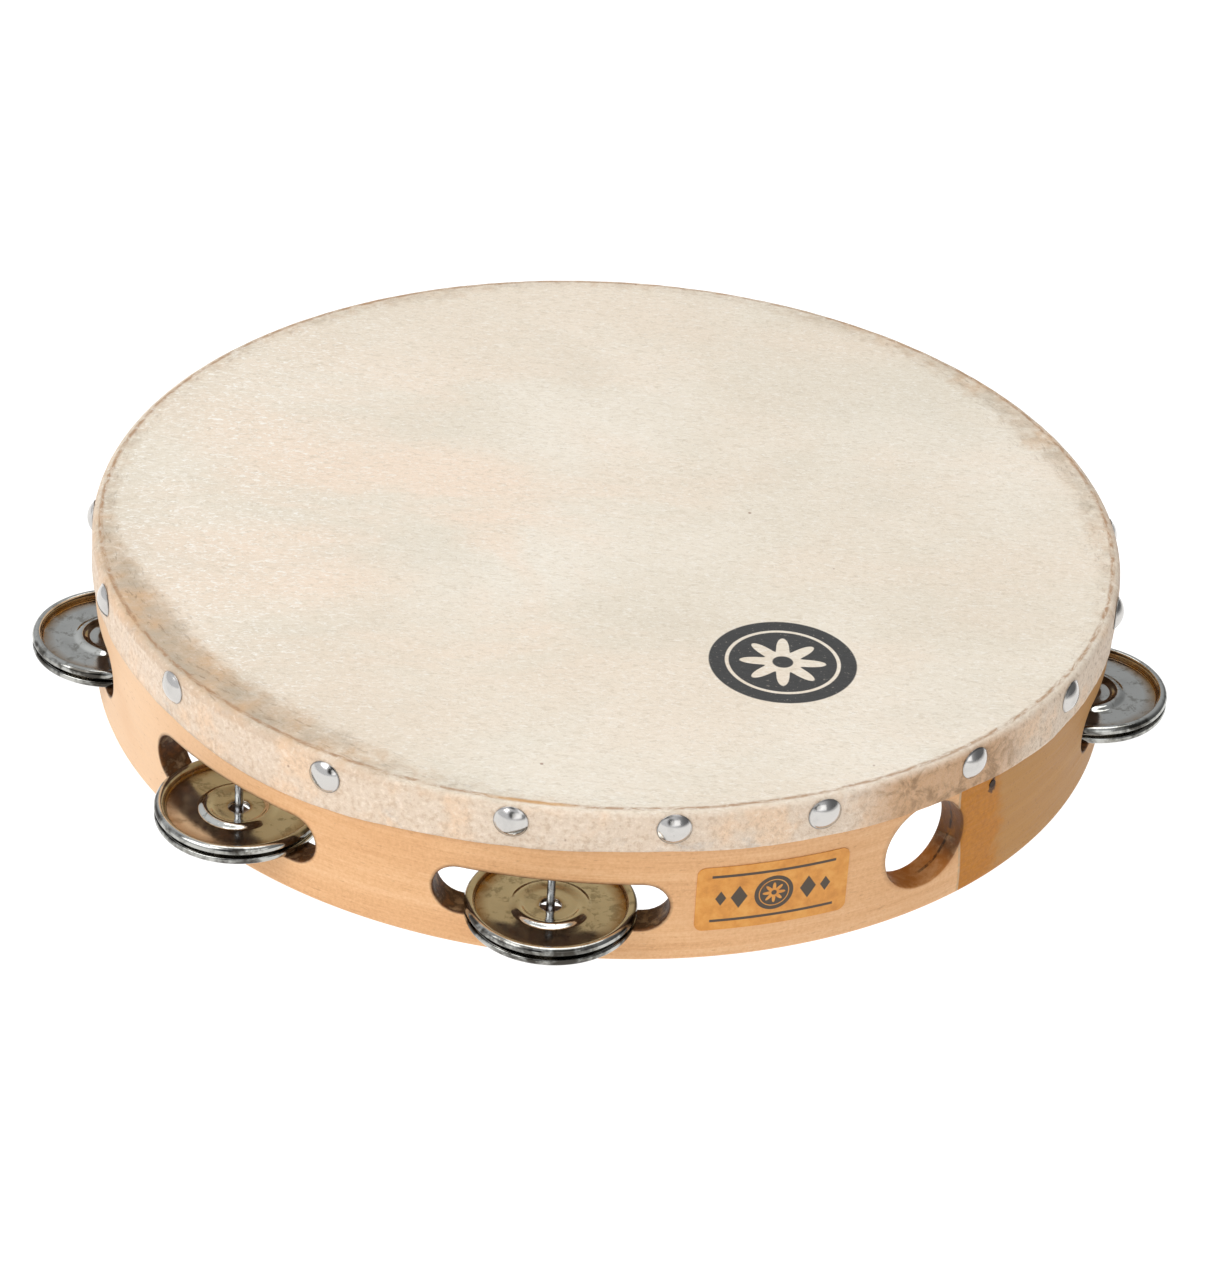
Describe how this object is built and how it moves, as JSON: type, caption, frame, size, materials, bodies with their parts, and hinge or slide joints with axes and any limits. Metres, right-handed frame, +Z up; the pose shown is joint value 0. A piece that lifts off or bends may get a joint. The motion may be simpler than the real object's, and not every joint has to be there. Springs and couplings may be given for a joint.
{
  "type": "tambourine",
  "caption": "Headed tambourine: bent wooden hoop with a thumb hole, tacked skin head and loose metal jingle pairs that spin and slide on pins.",
  "frame": {"origin": "on the hoop's axis, on the plane that the hoop's lower edge stands on", "axes": "+Z up through the skin head; -Y towards the front, where a jingle slot and the label are; the thumb hole lies 37.8 degrees from -Y towards +X"},
  "size_m": [0.281, 0.2769, 0.0413],
  "materials": {
    "hoop_wood": "clear-sanded light wood, satin",
    "head_hide": "natural rawhide, matte, stained at the fold",
    "plated_steel": "nickel plate, polished",
    "tack_nickel": "nickel plate, polished domes",
    "pin_steel": "drawn wire, satin",
    "brad_steel": "dark, dull",
    "label_print": null
  },
  "bodies": {
    "drum": {"hoop_section_1": "hoop_wood", "hoop_section_2": "hoop_wood", "hoop_section_3": "hoop_wood", "hoop_section_4": "hoop_wood", "hoop_section_5": "hoop_wood", "hoop_section_6": "hoop_wood", "hoop_section_7": "hoop_wood", "hoop_section_8": "hoop_wood", "hoop_thumb_section": "hoop_wood", "head_skin": "head_hide", "tacks": "tack_nickel", "lap_brad": "brad_steel", "hoop_label": "label_print"},
    "pin_1": {"pin_1": "pin_steel"},
    "pin_2": {"pin_2": "pin_steel"},
    "pin_3": {"pin_3": "pin_steel"},
    "pin_4": {"pin_4": "pin_steel"},
    "pin_5": {"pin_5": "pin_steel"},
    "pin_6": {"pin_6": "pin_steel"},
    "pin_7": {"pin_7": "pin_steel"},
    "pin_8": {"pin_8": "pin_steel"},
    "lower_jingle_1": {"lower_jingle_1": "plated_steel"},
    "lower_jingle_2": {"lower_jingle_2": "plated_steel"},
    "lower_jingle_3": {"lower_jingle_3": "plated_steel"},
    "lower_jingle_4": {"lower_jingle_4": "plated_steel"},
    "lower_jingle_5": {"lower_jingle_5": "plated_steel"},
    "lower_jingle_6": {"lower_jingle_6": "plated_steel"},
    "lower_jingle_7": {"lower_jingle_7": "plated_steel"},
    "lower_jingle_8": {"lower_jingle_8": "plated_steel"},
    "upper_jingle_1": {"upper_jingle_1": "plated_steel"},
    "upper_jingle_2": {"upper_jingle_2": "plated_steel"},
    "upper_jingle_3": {"upper_jingle_3": "plated_steel"},
    "upper_jingle_4": {"upper_jingle_4": "plated_steel"},
    "upper_jingle_5": {"upper_jingle_5": "plated_steel"},
    "upper_jingle_6": {"upper_jingle_6": "plated_steel"},
    "upper_jingle_7": {"upper_jingle_7": "plated_steel"},
    "upper_jingle_8": {"upper_jingle_8": "plated_steel"}
  },
  "joints": [
    {"name": "pair_1_spin", "type": "hinge", "parent": "drum", "child": "pin_1", "pos_m": [-0.00791, -0.12225, 0.0149], "axis": [0, 0, 1], "continuous": true},
    {"name": "pair_1_lift", "type": "slide", "parent": "pin_1", "child": "lower_jingle_1", "axis": [0, 0, 1], "range_m": [0, 0.0037]},
    {"name": "upper_1_lift", "type": "slide", "parent": "lower_jingle_1", "child": "upper_jingle_1", "axis": [0, 0, 1], "range_m": [0, 0.0037]},
    {"name": "pair_2_spin", "type": "hinge", "parent": "drum", "child": "pin_2", "pos_m": [-0.08197, -0.09104, 0.0149], "axis": [0, 0, 1], "continuous": true},
    {"name": "pair_2_lift", "type": "slide", "parent": "pin_2", "child": "lower_jingle_2", "axis": [0, 0, 1], "range_m": [0, 0.0037]},
    {"name": "upper_2_lift", "type": "slide", "parent": "lower_jingle_2", "child": "upper_jingle_2", "axis": [0, 0, 1], "range_m": [0, 0.0037]},
    {"name": "pair_3_spin", "type": "hinge", "parent": "drum", "child": "pin_3", "pos_m": [-0.12064, -0.02127, 0.0149], "axis": [0, 0, 1], "continuous": true},
    {"name": "pair_3_lift", "type": "slide", "parent": "pin_3", "child": "lower_jingle_3", "axis": [0, 0, 1], "range_m": [0, 0.0037]},
    {"name": "upper_3_lift", "type": "slide", "parent": "lower_jingle_3", "child": "upper_jingle_3", "axis": [0, 0, 1], "range_m": [0, 0.0037]},
    {"name": "pair_4_spin", "type": "hinge", "parent": "drum", "child": "pin_4", "pos_m": [-0.10609, 0.06125, 0.0149], "axis": [0, 0, 1], "continuous": true},
    {"name": "pair_4_lift", "type": "slide", "parent": "pin_4", "child": "lower_jingle_4", "axis": [0, 0, 1], "range_m": [0, 0.0037]},
    {"name": "upper_4_lift", "type": "slide", "parent": "lower_jingle_4", "child": "upper_jingle_4", "axis": [0, 0, 1], "range_m": [0, 0.0037]},
    {"name": "pair_5_spin", "type": "hinge", "parent": "drum", "child": "pin_5", "pos_m": [-0.0419, 0.11511, 0.0149], "axis": [0, 0, 1], "continuous": true},
    {"name": "pair_5_lift", "type": "slide", "parent": "pin_5", "child": "lower_jingle_5", "axis": [0, 0, 1], "range_m": [0, 0.0037]},
    {"name": "upper_5_lift", "type": "slide", "parent": "lower_jingle_5", "child": "upper_jingle_5", "axis": [0, 0, 1], "range_m": [0, 0.0037]},
    {"name": "pair_6_spin", "type": "hinge", "parent": "drum", "child": "pin_6", "pos_m": [0.0419, 0.11511, 0.0149], "axis": [0, 0, 1], "continuous": true},
    {"name": "pair_6_lift", "type": "slide", "parent": "pin_6", "child": "lower_jingle_6", "axis": [0, 0, 1], "range_m": [0, 0.0037]},
    {"name": "upper_6_lift", "type": "slide", "parent": "lower_jingle_6", "child": "upper_jingle_6", "axis": [0, 0, 1], "range_m": [0, 0.0037]},
    {"name": "pair_7_spin", "type": "hinge", "parent": "drum", "child": "pin_7", "pos_m": [0.10609, 0.06125, 0.0149], "axis": [0, 0, 1], "continuous": true},
    {"name": "pair_7_lift", "type": "slide", "parent": "pin_7", "child": "lower_jingle_7", "axis": [0, 0, 1], "range_m": [0, 0.0037]},
    {"name": "upper_7_lift", "type": "slide", "parent": "lower_jingle_7", "child": "upper_jingle_7", "axis": [0, 0, 1], "range_m": [0, 0.0037]},
    {"name": "pair_8_spin", "type": "hinge", "parent": "drum", "child": "pin_8", "pos_m": [0.12082, -0.02022, 0.0149], "axis": [0, 0, 1], "continuous": true},
    {"name": "pair_8_lift", "type": "slide", "parent": "pin_8", "child": "lower_jingle_8", "axis": [0, 0, 1], "range_m": [0, 0.0037]},
    {"name": "upper_8_lift", "type": "slide", "parent": "lower_jingle_8", "child": "upper_jingle_8", "axis": [0, 0, 1], "range_m": [0, 0.0037]}
  ]
}
